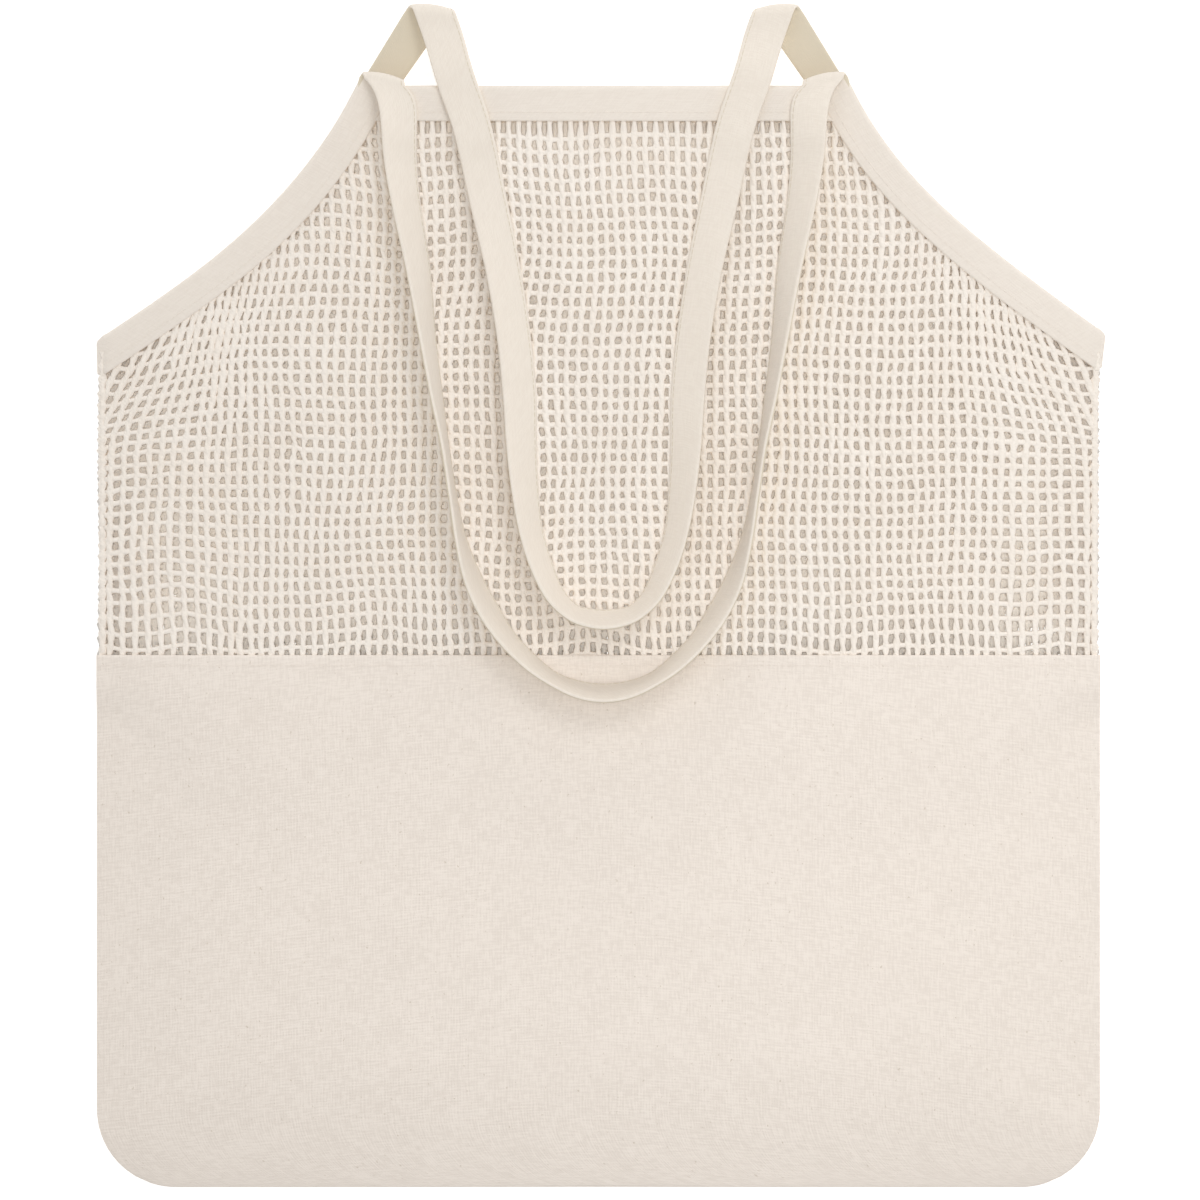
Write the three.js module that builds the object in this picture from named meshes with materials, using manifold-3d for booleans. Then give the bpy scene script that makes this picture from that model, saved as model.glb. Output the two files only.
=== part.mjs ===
// A cotton mesh tote bag that lies flat on its back panel: canvas below, net above, edges bound with
// folded tape, and two tape handles laid forward over the front. X runs across the bag, Y from its
// bottom edge to its mouth, and Z up from the surface that it lies on. All sizes are millimetres.
import * as THREE from 'three';
import { mergeVertices } from 'three/addons/utils/BufferGeometryUtils.js';
import Module from 'manifold-3d';

const wasm = await Module();
wasm.setup();

// Bag outline
const HALF_WIDTH = 190;
const BAG_HEIGHT = 416;
const CANVAS_HEIGHT = 201.5;
const CORNER_RADIUS = 33;

// Cloth layers: each rests on the next with a small gap
const CLOTH = 1;
const GAP = 0.3;
const LAP = CLOTH + GAP;
const FOLDED_TAPE = 3 * CLOTH + 2 * GAP;

// The front rises from the sewn edge over a run of cloth, and lies higher towards the open mouth
const PUFF = 6;
const PUFF_RUN = 55;
const SEAM_LIFT = 2 * LAP;
const CREASE_RADIUS = 0.5;
const CREASE_Z = FOLDED_TAPE + CREASE_RADIUS;
const NOTCH_LIFT = CREASE_Z + CREASE_RADIUS + LAP;

// Armhole tape: its two edges, each a curve from the mouth corner down to the side of the bag
const BINDING_WIDTH = 12.5;
const MOUTH_CORNER = new THREE.Vector2(94.7, BAG_HEIGHT);
const ARMHOLE_TOP_ANGLE = THREE.MathUtils.degToRad(26);
const ARMHOLE_SIDE_ANGLE = THREE.MathUtils.degToRad(56);
const NOTCH_BULGE = 1;
const CREASE_X = HALF_WIDTH + NOTCH_BULGE - CREASE_RADIUS - FOLDED_TAPE;
const ARMHOLE_EDGES = {
  outer: { inset: 0, sideHeight: 325, topHandle: 45, sideHandle: 46 },
  inner: { inset: BINDING_WIDTH, sideHeight: 310, topHandle: 50, sideHandle: 56 },
};
const ARMHOLE_STEPS = 14;
const CREASE_STEPS = 6;

// Mouth hem between the two corners; its ends slant back to clear the handles
const HEM_HEIGHT = 13;
const HEM_TOP_HALF = 77;
const HEM_LOW_HALF = 86.5;
const HEM_STEPS = 24;

// Net panel: bars round gaps that are cut right through
const NET_HALF_WIDTH = 189;
const NET_BAR = 8;
const NET_COLUMNS = 11;
const NET_ROWS = 6;
const NET_LAP_BAR = 10.5;
const NET_SHOWN_LAP = 2;
const NET_HEM_BAR = 12.5;
const NET_EDGE_GAP = 0.2;

// Handles: tape that runs on from the armhole, folds over and hangs down the front in a U. Each row of
// a leg gives half the spread of the two legs, the height on the bag and the lean of the tape in degrees.
const STRAP_WIDTH = 14;
const STRAP_THICKNESS = 1.6;
const STRAP_RISE = THREE.MathUtils.degToRad(34);
const SKEW_RUN = 24;
const RAMP_CLEAR = 4;
const RAMP_RUN = 14;
const LEG_STEPS = 72;
const FRONT_STRAP = {
  riseHeight: NOTCH_LIFT + PUFF + CLOTH / 2,
  foldAt: 7.4,
  legLean: THREE.MathUtils.degToRad(17),
  foldSteps: 6,
  leg: [
    { spread: 76.5, height: 399, lean: 26 },
    { spread: 73, height: 373, lean: 35 },
    { spread: 68.5, height: 336, lean: 50 },
    { spread: 64, height: 305, lean: 62 },
    { spread: 58.5, height: 274, lean: 70 },
    { spread: 51, height: 239, lean: 62 },
    { spread: 44.5, height: 220, lean: 55 },
    { spread: 32.5, height: 203.5, lean: 54 },
    { spread: 18, height: 192, lean: 58 },
    { spread: 0, height: 187.4, lean: 60 },
  ],
};
const BACK_STRAP = {
  riseHeight: FOLDED_TAPE / 2,
  foldAt: 32,
  legLean: THREE.MathUtils.degToRad(21),
  foldSteps: 10,
  leg: [
    { spread: 47, height: 399, lean: 4 },
    { spread: 40.5, height: 364, lean: 12 },
    { spread: 34.5, height: 325.5, lean: 28 },
    { spread: 31.5, height: 290, lean: 40 },
    { spread: 29, height: 262, lean: 52 },
    { spread: 25.5, height: 243, lean: 56 },
    { spread: 20.5, height: 229, lean: 60 },
    { spread: 12, height: 219, lean: 64 },
    { spread: 0, height: 215, lean: 66 },
  ],
};

const CANVAS_MATERIAL = new THREE.MeshStandardMaterial({ color: 0xebe1d7, roughness: 0.95, metalness: 0 });
const NET_MATERIAL = new THREE.MeshStandardMaterial({ color: 0xece2d4, roughness: 0.98, metalness: 0 });
const TAPE_MATERIAL = new THREE.MeshStandardMaterial({ color: 0xe8ddd0, roughness: 0.9, metalness: 0 });

const smoothRise = (value, from, to) => THREE.MathUtils.smoothstep(value, from, to);
const mix = THREE.MathUtils.lerp;

// Distance from a point of the canvas to its sewn edge: sides, bottom and round corners
function seamDistance(x, y) {
  const past = new THREE.Vector2(Math.abs(x) - (HALF_WIDTH - CORNER_RADIUS), CORNER_RADIUS - y);
  if (past.x > 0 && past.y > 0) {
    return CORNER_RADIUS - past.length();
  }
  return Math.min(HALF_WIDTH - Math.abs(x), y);
}

// Rise of the front panel at a distance from its sewn edge: steep at the edge, level at the end of its run
function puff(distance) {
  const left = 1 - THREE.MathUtils.clamp(distance / PUFF_RUN, 0, 1);
  return PUFF * (1 - left * left);
}

// Undersides of the two front panels. The canvas overlaps the outside of the net where they are sewn.
function frontNet(x, y) {
  const notchLow = ARMHOLE_EDGES.inner.sideHeight;
  const lift = mix(SEAM_LIFT, NOTCH_LIFT, smoothRise(y, CANVAS_HEIGHT + HEM_HEIGHT, notchLow));
  return lift + puff(HALF_WIDTH - Math.abs(x));
}

function frontCanvas(x, y) {
  const lift = mix(LAP, SEAM_LIFT + LAP, smoothRise(y, CANVAS_HEIGHT * 0.6, CANVAS_HEIGHT - NET_LAP_BAR));
  return lift + puff(seamDistance(x, y));
}

const backNet = () => LAP;

// Lowest level at which a handle can lie on the front: over net, or higher over the hem and the canvas
function handleRest(x, y) {
  const hemLow = BAG_HEIGHT - HEM_HEIGHT - RAMP_CLEAR;
  const canvasTop = CANVAS_HEIGHT + RAMP_CLEAR;
  const overHem = smoothRise(y, hemLow - RAMP_RUN, hemLow);
  const overCanvas = 1 - smoothRise(y, canvasTop, canvasTop + RAMP_RUN);
  return frontNet(x, y) + CLOTH + GAP + LAP * Math.max(overHem, overCanvas);
}

// A closed geometry with its faces turned outwards
function closedGeometry(points, index) {
  let volume = 0;
  for (let k = 0; k < index.length; k += 3) {
    const [a, b, c] = [points[index[k]], points[index[k + 1]], points[index[k + 2]]];
    volume += a.dot(b.clone().cross(c));
  }
  const geometry = new THREE.BufferGeometry().setFromPoints(points);
  geometry.setIndex(volume > 0 ? index : index.slice().reverse());
  geometry.computeVertexNormals();
  return geometry;
}

// A solid skinned over a row of matching closed sections. capFaces are the triangles of one section.
function skin(sections, capFaces) {
  const count = sections[0].length;
  const index = [];
  for (let s = 0; s + 1 < sections.length; s += 1) {
    for (let k = 0; k < count; k += 1) {
      const a = s * count + k;
      const b = s * count + ((k + 1) % count);
      index.push(a, b, b + count, a, b + count, a + count);
    }
  }
  const last = (sections.length - 1) * count;
  for (const [a, b, c] of capFaces) {
    index.push(a, c, b, last + a, last + b, last + c);
  }
  return closedGeometry(sections.flat(), index);
}

// Lower front panel: rows of points across the rounded outline, lifted to the front's height
function canvasFront() {
  const edgeDistances = [0, 5, 11, 18, 26, 35, 45, 56, 85, 120, 155];
  const half = edgeDistances.map((distance) => 1 - distance / HALF_WIDTH);
  const across = [...half.map((u) => -u), 0, ...half.slice().reverse()];
  const cornerAngles = [0, 15, 30, 45, 60, 75];
  const cornerRows = cornerAngles.map((angle) => {
    const turn = THREE.MathUtils.degToRad(angle);
    const halfWidth = HALF_WIDTH - CORNER_RADIUS * (1 - Math.sin(turn));
    return { height: CORNER_RADIUS * (1 - Math.cos(turn)), halfWidth };
  });
  const straightRows = [33, 42, 55, 80, 105, 120, 135, 150, 165, 180, 192, CANVAS_HEIGHT];
  const rows = [...cornerRows, ...straightRows.map((height) => ({ height, halfWidth: HALF_WIDTH }))];
  const sections = rows.map(({ height, halfWidth }) => {
    const spots = across.map((u) => [u * halfWidth, height]);
    const lower = spots.map(([x, y]) => new THREE.Vector3(x, y, frontCanvas(x, y)));
    const upper = lower.map((p) => p.clone().setZ(p.z + CLOTH));
    return [...lower, ...upper.reverse()];
  });
  const end = across.length - 1;
  const capFaces = [];
  for (let i = 0; i < end; i += 1) {
    capFaces.push([i, i + 1, 2 * end - i], [i, 2 * end - i, 2 * end + 1 - i]);
  }
  return skin(sections, capFaces);
}

// Lower back panel: flat on the floor, the same outline
function canvasBack() {
  const straight = HALF_WIDTH - CORNER_RADIUS;
  const outline = new THREE.Shape();
  outline.moveTo(-HALF_WIDTH, CANVAS_HEIGHT);
  outline.lineTo(-HALF_WIDTH, CORNER_RADIUS);
  outline.absarc(-straight, CORNER_RADIUS, CORNER_RADIUS, Math.PI, 1.5 * Math.PI);
  outline.lineTo(straight, 0);
  outline.absarc(straight, CORNER_RADIUS, CORNER_RADIUS, -0.5 * Math.PI, 0);
  outline.lineTo(HALF_WIDTH, CANVAS_HEIGHT);
  return new THREE.ExtrudeGeometry(outline, { depth: CLOTH, bevelEnabled: false, curveSegments: 10 });
}

// One edge of the armhole tape on the right side of the bag
function armholeEdge({ inset, sideHeight, topHandle, sideHandle }) {
  const topWay = new THREE.Vector2(Math.sin(ARMHOLE_TOP_ANGLE), -Math.cos(ARMHOLE_TOP_ANGLE));
  const sideWay = new THREE.Vector2(Math.sin(ARMHOLE_SIDE_ANGLE), -Math.cos(ARMHOLE_SIDE_ANGLE));
  const inward = new THREE.Vector2(topWay.y, -topWay.x);
  const top = MOUTH_CORNER.clone().addScaledVector(inward, inset);
  const side = new THREE.Vector2(CREASE_X, sideHeight);
  const leaveTop = top.clone().addScaledVector(topWay, topHandle);
  const reachSide = side.clone().addScaledVector(sideWay, -sideHandle);
  return new THREE.CubicBezierCurve(top, leaveTop, reachSide, side);
}

const armholeOuter = armholeEdge(ARMHOLE_EDGES.outer);
const armholeInner = armholeEdge(ARMHOLE_EDGES.inner);

// Section of a tape folded over the edge of the net: two leaves and the fold that joins them
const FOLDED_FACES = [[0, 1, 2], [0, 2, 3], [4, 5, 6], [4, 6, 7], [0, 3, 4], [0, 4, 7]];

function foldedSection(foldEdge, openEdge, place) {
  const fold = CLOTH / foldEdge.distanceTo(openEdge);
  const farLeaf = FOLDED_TAPE - CLOTH;
  const corners = [
    [0, 0], [1, 0], [1, CLOTH], [fold, CLOTH],
    [fold, farLeaf], [1, farLeaf], [1, FOLDED_TAPE], [0, FOLDED_TAPE],
  ];
  return corners.map(([across, up]) => place(foldEdge.clone().lerp(openEdge, across), up));
}

const onFront = (p, up) => new THREE.Vector3(p.x, p.y, frontNet(p.x, p.y) - LAP + up);
const onBack = (p, up) => new THREE.Vector3(p.x, p.y, FOLDED_TAPE - up);

// Armhole tape: down the front edge, round the crease at the side of the bag and up the back edge
function binding(side) {
  const sections = [];
  for (let k = 0; k <= ARMHOLE_STEPS; k += 1) {
    const t = k / ARMHOLE_STEPS;
    sections.push(foldedSection(armholeOuter.getPoint(t), armholeInner.getPoint(t), onFront));
  }
  const creaseEdges = [armholeOuter.getPoint(1), armholeInner.getPoint(1)];
  for (let k = 1; k < CREASE_STEPS; k += 1) {
    const turn = (Math.PI * k) / CREASE_STEPS;
    const roundCrease = (p, up) => new THREE.Vector3(
      p.x + (CREASE_RADIUS + up) * Math.sin(turn),
      p.y,
      CREASE_Z + (CREASE_RADIUS + up) * Math.cos(turn),
    );
    sections.push(foldedSection(...creaseEdges, roundCrease));
  }
  for (let k = ARMHOLE_STEPS; k >= 0; k -= 1) {
    const t = k / ARMHOLE_STEPS;
    sections.push(foldedSection(armholeOuter.getPoint(t), armholeInner.getPoint(t), onBack));
  }
  const mirrored = sections.map((section) => section.map((p) => p.setX(side * p.x)));
  return skin(mirrored, FOLDED_FACES);
}

// Mouth hem: tape folded over the top edge of the net
function hem(place) {
  const sections = [];
  for (let k = 0; k <= HEM_STEPS; k += 1) {
    const u = (2 * k) / HEM_STEPS - 1;
    const top = new THREE.Vector2(u * HEM_TOP_HALF, BAG_HEIGHT);
    const low = new THREE.Vector2(u * HEM_LOW_HALF, BAG_HEIGHT - HEM_HEIGHT);
    sections.push(foldedSection(top, low, place));
  }
  return skin(sections, FOLDED_FACES);
}

// Lines across a net in one direction: bars with equal gaps between them, each gap cut into split strips
function netLines({ from, to, firstBar, lastBar, gaps, split }) {
  const gapWidth = (to - from - firstBar - lastBar - (gaps - 1) * NET_BAR) / gaps;
  const lines = [from];
  const open = [];
  for (let g = 0; g < gaps; g += 1) {
    const bar = g === 0 ? firstBar : NET_BAR;
    lines.push(lines.at(-1) + bar);
    open.push(false);
    for (let s = 0; s < split; s += 1) {
      lines.push(lines.at(-1) + gapWidth / split);
      open.push(true);
    }
  }
  lines.push(to);
  open.push(false);
  return { lines, open };
}

// A sheet of crossing bars over a surface, with square gaps cut right through
function lattice(columns, rows, underside) {
  const width = columns.lines.length;
  const layer = width * rows.lines.length;
  const spotsAt = (y) => columns.lines.map((x) => new THREE.Vector3(x, y, underside(x, y)));
  const spots = rows.lines.flatMap(spotsAt);
  const points = [...spots, ...spots.map((p) => p.clone().setZ(p.z + CLOTH))];
  const solid = (i, j) => {
    const inside = i >= 0 && j >= 0 && i < columns.open.length && j < rows.open.length;
    return inside && !(columns.open[i] && rows.open[j]);
  };
  const index = [];
  const quad = (a, b, c, d) => index.push(a, b, c, a, c, d);
  const wall = (a, b) => quad(a, b, b + layer, a + layer);
  for (let j = 0; j < rows.open.length; j += 1) {
    for (let i = 0; i < columns.open.length; i += 1) {
      if (!solid(i, j)) {
        continue;
      }
      const corner = j * width + i;
      const [a, b, c, d] = [corner, corner + 1, corner + width + 1, corner + width];
      quad(a + layer, b + layer, c + layer, d + layer);
      quad(a, d, c, b);
      if (!solid(i, j - 1)) wall(a, b);
      if (!solid(i + 1, j)) wall(b, c);
      if (!solid(i, j + 1)) wall(c, d);
      if (!solid(i - 1, j)) wall(d, a);
    }
  }
  return closedGeometry(points, index);
}

// Outline that the net is cut to, as a tall prism: armhole scoops, side notches and slanted mouth corners
function netOutline() {
  const inset = (LAP + NET_EDGE_GAP) / BINDING_WIDTH;
  const notchX = CREASE_X - GAP;
  const notchLow = ARMHOLE_EDGES.inner.sideHeight - 2 * GAP;
  const scoop = [];
  for (let k = ARMHOLE_STEPS; k >= 1; k -= 1) {
    const t = (k - 0.4) / ARMHOLE_STEPS;
    const p = armholeOuter.getPoint(t).lerp(armholeInner.getPoint(t), inset);
    scoop.push(new THREE.Vector2(Math.min(p.x, notchX), p.y));
  }
  const hemTop = BAG_HEIGHT - LAP - NET_EDGE_GAP;
  const hemCorner = new THREE.Vector2(HEM_TOP_HALF - GAP, hemTop);
  const hemEnd = new THREE.Vector2(mix(HEM_TOP_HALF, HEM_LOW_HALF, 0.6), BAG_HEIGHT - 0.6 * HEM_HEIGHT);
  const beyond = HALF_WIDTH + PUFF_RUN;
  const right = [
    new THREE.Vector2(beyond, 0),
    new THREE.Vector2(beyond, notchLow),
    new THREE.Vector2(notchX, notchLow),
    ...scoop,
    hemEnd,
    hemCorner,
  ];
  const left = right.map((p) => new THREE.Vector2(-p.x, p.y)).reverse();
  const prism = new THREE.ExtrudeGeometry(new THREE.Shape([...right, ...left]), {
    depth: PUFF_RUN,
    bevelEnabled: false,
  });
  return prism.translate(0, 0, -CLOTH);
}

// Solid for cutting, made from a closed geometry
function toSolid(geometry) {
  const bare = geometry.clone();
  bare.deleteAttribute('normal');
  bare.deleteAttribute('uv');
  const merged = mergeVertices(bare);
  const mesh = new wasm.Mesh({
    numProp: 3,
    vertProperties: merged.attributes.position.array,
    triVerts: new Uint32Array(merged.index.array),
  });
  return new wasm.Manifold(mesh);
}

// Net panel: a lattice over the panel's surface, cut to the outline
function net(underside, split) {
  const columns = netLines({
    from: -NET_HALF_WIDTH,
    to: NET_HALF_WIDTH,
    firstBar: NET_BAR,
    lastBar: NET_BAR,
    gaps: NET_COLUMNS,
    split,
  });
  const rows = netLines({
    from: CANVAS_HEIGHT + NET_SHOWN_LAP - NET_LAP_BAR,
    to: BAG_HEIGHT - LAP,
    firstBar: NET_LAP_BAR,
    lastBar: NET_HEM_BAR,
    gaps: NET_ROWS,
    split,
  });
  const cut = toSolid(lattice(columns, rows, underside)).intersect(toSolid(netOutline())).getMesh();
  const geometry = new THREE.BufferGeometry();
  geometry.setAttribute('position', new THREE.BufferAttribute(cut.vertProperties, cut.numProp));
  geometry.setIndex(new THREE.BufferAttribute(cut.triVerts, 1));
  geometry.computeVertexNormals();
  return geometry;
}

// Handle on the right of the bag from the mouth corner to the end of its fold. Each line lies across the
// tape. On the fold the lines run along the axis that the tape is bent round.
function foldLines({ riseHeight, foldAt, legLean, foldSteps }) {
  const up = new THREE.Vector3(-Math.sin(ARMHOLE_TOP_ANGLE), Math.cos(ARMHOLE_TOP_ANGLE), 0);
  const start = [armholeOuter.getPoint(0), armholeInner.getPoint(0)].map((p) => (
    new THREE.Vector3(p.x, p.y, riseHeight).addScaledVector(up, GAP)
  ));
  const lines = [{ outer: start[0], inner: start[1], normal: new THREE.Vector3(0, 0, -1) }];
  const rise = new THREE.Vector3(-Math.sin(STRAP_RISE), Math.cos(STRAP_RISE), 0);
  const inward = new THREE.Vector3(-rise.y, rise.x, 0);
  const axisTilt = (STRAP_RISE - legLean) / 2;
  const skew = STRAP_RISE - axisTilt;
  const axis = new THREE.Vector3(Math.cos(axisTilt), Math.sin(axisTilt), 0);
  const away = new THREE.Vector3(-axis.y, axis.x, 0);
  const corner = new THREE.Vector3(MOUTH_CORNER.x, MOUTH_CORNER.y, riseHeight);
  const middle = corner.addScaledVector(inward, STRAP_WIDTH / 2).addScaledVector(rise, foldAt);
  const legHeight = handleRest(0, BAG_HEIGHT) + STRAP_THICKNESS / 2;
  const radius = (legHeight - riseHeight) / 2;
  const half = STRAP_WIDTH / 2 / Math.cos(skew);
  for (let k = 0; k <= foldSteps; k += 1) {
    const turn = (Math.PI * k) / foldSteps;
    const laid = radius * turn;
    const centre = middle.clone();
    centre.addScaledVector(rise, laid / Math.cos(skew));
    centre.addScaledVector(away, radius * Math.sin(turn) - laid);
    centre.z += radius * (1 - Math.cos(turn));
    lines.push({
      outer: centre.clone().addScaledVector(axis, half),
      inner: centre.clone().addScaledVector(axis, -half),
      normal: away.clone().multiplyScalar(Math.sin(turn)).setZ(-Math.cos(turn)),
    });
  }
  return { lines, skew };
}

// Handle down the front and back up: a smooth curve through the rows of its leg and their mirror images
function legLines(exit, skew, leg) {
  const down = [exit, ...leg.map(({ spread, height, lean }) => new THREE.Vector3(spread, height, lean))];
  const backUp = down.slice(0, -1).reverse().map((p) => new THREE.Vector3(-p.x, p.y, p.z));
  const curve = new THREE.CatmullRomCurve3([...down, ...backUp], false, 'centripetal');
  const length = curve.getLength();
  const lines = [];
  for (let k = 1; k < LEG_STEPS; k += 1) {
    const u = k / LEG_STEPS;
    const spot = curve.getPointAt(u);
    const way = curve.getTangentAt(u).setZ(0).normalize();
    const lean = THREE.MathUtils.degToRad(spot.z);
    const fromEnd = Math.min(u, 1 - u) * length;
    const slant = skew * (1 - smoothRise(fromEnd, 0, SKEW_RUN));
    const turn = slant * Math.sign(0.5 - u);
    const outward = new THREE.Vector3(-way.y, way.x, 0).applyAxisAngle(new THREE.Vector3(0, 0, 1), turn);
    const half = STRAP_WIDTH / 2 / Math.cos(slant);
    const across = outward.clone().multiplyScalar(Math.cos(lean)).setZ(Math.sin(lean));
    const normal = outward.clone().multiplyScalar(-Math.sin(lean)).setZ(Math.cos(lean));
    const lift = half * Math.sin(lean) + (STRAP_THICKNESS / 2) * Math.cos(lean);
    const centre = new THREE.Vector3(spot.x, spot.y, handleRest(spot.x, spot.y) + lift);
    lines.push({
      outer: centre.clone().addScaledVector(across, half),
      inner: centre.clone().addScaledVector(across, -half),
      normal,
    });
  }
  return lines;
}

// Whole handle: fold, two legs and the mirrored fold, given the thickness of its tape
function strap(shape) {
  const { lines, skew } = foldLines(shape);
  const exit = lines.at(-1).outer.clone().add(lines.at(-1).inner).multiplyScalar(0.5).setZ(0);
  const mirror = (p) => new THREE.Vector3(-p.x, p.y, p.z);
  const farSide = lines.slice().reverse().map(({ outer, inner, normal }) => ({
    outer: mirror(outer),
    inner: mirror(inner),
    normal: mirror(normal),
  }));
  const all = [...lines, ...legLines(exit, skew, shape.leg), ...farSide];
  const sections = all.map(({ outer, inner, normal }) => {
    const offset = normal.clone().multiplyScalar(STRAP_THICKNESS / 2);
    return [
      inner.clone().sub(offset),
      outer.clone().sub(offset),
      outer.clone().add(offset),
      inner.clone().add(offset),
    ];
  });
  return skin(sections, [[0, 1, 2], [0, 2, 3]]);
}

const pieces = [
  ['canvas_front', canvasFront(), CANVAS_MATERIAL],
  ['canvas_back', canvasBack(), CANVAS_MATERIAL],
  ['net_front', net(frontNet, 2), NET_MATERIAL],
  ['net_back', net(backNet, 1), NET_MATERIAL],
  ['hem_front', hem(onFront), TAPE_MATERIAL],
  ['hem_back', hem(onBack), TAPE_MATERIAL],
  ['binding_left', binding(-1), TAPE_MATERIAL],
  ['binding_right', binding(1), TAPE_MATERIAL],
  ['strap_front', strap(FRONT_STRAP), TAPE_MATERIAL],
  ['strap_back', strap(BACK_STRAP), TAPE_MATERIAL],
];

// The whole bag, centred over the origin
const bag = new THREE.Group();
for (const [name, geometry, material] of pieces) {
  const mesh = new THREE.Mesh(geometry, material);
  mesh.name = name;
  bag.add(mesh);
}
const extent = new THREE.Box3().setFromObject(bag);
bag.position.y = -extent.getCenter(new THREE.Vector3()).y;

export default bag;
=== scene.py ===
import bpy
import numpy as np
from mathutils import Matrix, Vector


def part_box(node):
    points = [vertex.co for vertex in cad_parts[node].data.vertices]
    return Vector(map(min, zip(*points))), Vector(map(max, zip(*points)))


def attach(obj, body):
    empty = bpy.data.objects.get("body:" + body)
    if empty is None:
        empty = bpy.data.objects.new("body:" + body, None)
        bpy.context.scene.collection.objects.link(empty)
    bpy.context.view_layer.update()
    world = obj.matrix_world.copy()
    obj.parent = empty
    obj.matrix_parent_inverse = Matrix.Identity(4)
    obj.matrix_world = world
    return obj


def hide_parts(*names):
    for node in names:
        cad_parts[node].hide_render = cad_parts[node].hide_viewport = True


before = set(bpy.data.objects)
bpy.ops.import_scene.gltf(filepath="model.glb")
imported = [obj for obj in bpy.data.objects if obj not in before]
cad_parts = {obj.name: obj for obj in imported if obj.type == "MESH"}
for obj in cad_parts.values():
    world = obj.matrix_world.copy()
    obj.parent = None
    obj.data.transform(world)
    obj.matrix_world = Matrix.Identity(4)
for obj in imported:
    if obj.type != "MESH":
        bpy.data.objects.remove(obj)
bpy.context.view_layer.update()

# Camera: straight above the bag, as the photo was taken, from far off with a long lens.
# The picture is as wide as the photo's frame at the height of the cloth.
CAMERA_HEIGHT = 3.0
CLOTH_LEVEL = 0.008
PICTURE_WIDTH = 0.4536
PICTURE_MIDDLE = (0.0006, -0.0009)
SENSOR_WIDTH = 36
camera_data = bpy.data.cameras.new("camera")
camera_data.sensor_width = SENSOR_WIDTH
camera_data.lens = SENSOR_WIDTH * CAMERA_HEIGHT / PICTURE_WIDTH
camera = bpy.data.objects.new("camera", camera_data)
camera.location = (*PICTURE_MIDDLE, CAMERA_HEIGHT + CLOTH_LEVEL)
bpy.context.collection.objects.link(camera)
bpy.context.scene.camera = camera

# Floor: a plain white light table, so large that its edge is out of sight.
# It is faintly lit from inside, and its glow reaches up through the net.
FLOOR_HALF = 8.0
FLOOR_Z = -0.0003
FLOOR_TONE = 0.85
FLOOR_GLOW = 0.42
floor_mesh = bpy.data.meshes.new("floor")
floor_corners = [(-1, -1), (1, -1), (1, 1), (-1, 1)]
floor_points = [(FLOOR_HALF * x, FLOOR_HALF * y, FLOOR_Z) for x, y in floor_corners]
floor_mesh.from_pydata(floor_points, [], [(0, 1, 2, 3)])
floor = bpy.data.objects.new("floor", floor_mesh)
bpy.context.collection.objects.link(floor)
floor_paper = bpy.data.materials.new("floor_paper")
floor_paper.use_nodes = True
floor_shader = floor_paper.node_tree.nodes["Principled BSDF"]
floor_shader.inputs["Base Color"].default_value = (FLOOR_TONE, FLOOR_TONE, FLOOR_TONE, 1)
floor_shader.inputs["Roughness"].default_value = 1.0
floor_shader.inputs["Emission Color"].default_value = (1, 1, 1, 1)
floor_shader.inputs["Emission Strength"].default_value = FLOOR_GLOW
floor_mesh.materials.append(floor_paper)

# Studio light: an even white room, two soft boxes at the right of the bag, a lamp high over its middle
# that reaches down through the net, and low boxes at three sides that light the standing handles.
ROOM_STRENGTH = 0.455
LAMPS = {
    "soft_box": {"watts": 0.27, "size": 0.35, "place": Vector((0.11, -0.13, 0.36))},
    "tall_box": {"watts": 1.6, "size": 0.35, "place": Vector((0.27, 0.5, 0.75))},
    "high_lamp": {"watts": 30.0, "size": 0.3, "place": Vector((0.0, 0.0, 3.6))},
    "left_box": {"watts": 2.5, "size": 0.4, "place": Vector((-1.4, 0.05, 0.28))},
    "right_box": {"watts": 2.2, "size": 0.4, "place": Vector((1.4, 0.05, 0.28))},
    "mouth_box": {"watts": 3.4, "size": 0.4, "place": Vector((0.0, 1.45, 0.28))},
}
room = bpy.data.worlds.new("room")
room.use_nodes = True
room.node_tree.nodes["Background"].inputs["Color"].default_value = (1, 1, 1, 1)
room.node_tree.nodes["Background"].inputs["Strength"].default_value = ROOM_STRENGTH
bpy.context.scene.world = room
for name, lamp in LAMPS.items():
    lamp_light = bpy.data.lights.new(name, "AREA")
    lamp_light.energy = lamp["watts"]
    lamp_light.size = lamp["size"]
    lamp_object = bpy.data.objects.new(name, lamp_light)
    lamp_object.location = lamp["place"]
    lamp_object.rotation_euler = (-lamp["place"]).to_track_quat("-Z", "Y").to_euler()
    bpy.context.collection.objects.link(lamp_object)
bpy.context.scene.view_settings.view_transform = "Standard"
bpy.context.scene.cycles.diffuse_bounces = 10

# Canvas panels: the lower half of the bag, two sheets of plain-woven natural cotton with round
# bottom corners. They are sewn together along the sides and the bottom and turned right side out,
# and the front one is sewn over the lower edge of the net with one row of stitches.
MM = 0.001
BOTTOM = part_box("canvas_back")[0].y
HALF_WIDTH = 190.0
CANVAS_HEIGHT = 201.5
CORNER_RADIUS = 29.5
CANVAS_THICK = 1.0
CANVAS_EDGE = 1.4
CANVAS_ROW_STEP = 2.6
CANVAS_COLUMN_STEP = 3.0
CANVAS_WAVES = 0.28
SIDE_SEAM_Z = 1.5
NET_SEAM_RISE = 2.9
NET_SEAM_RUN = 10.5
PUFF = 6.0
PUFF_RUN = 55.0
STITCH_INSET = 3.2
STITCH_PITCH = 2.6
STITCH_LENGTH = 2.3
STITCH_THREAD = 0.13


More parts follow.
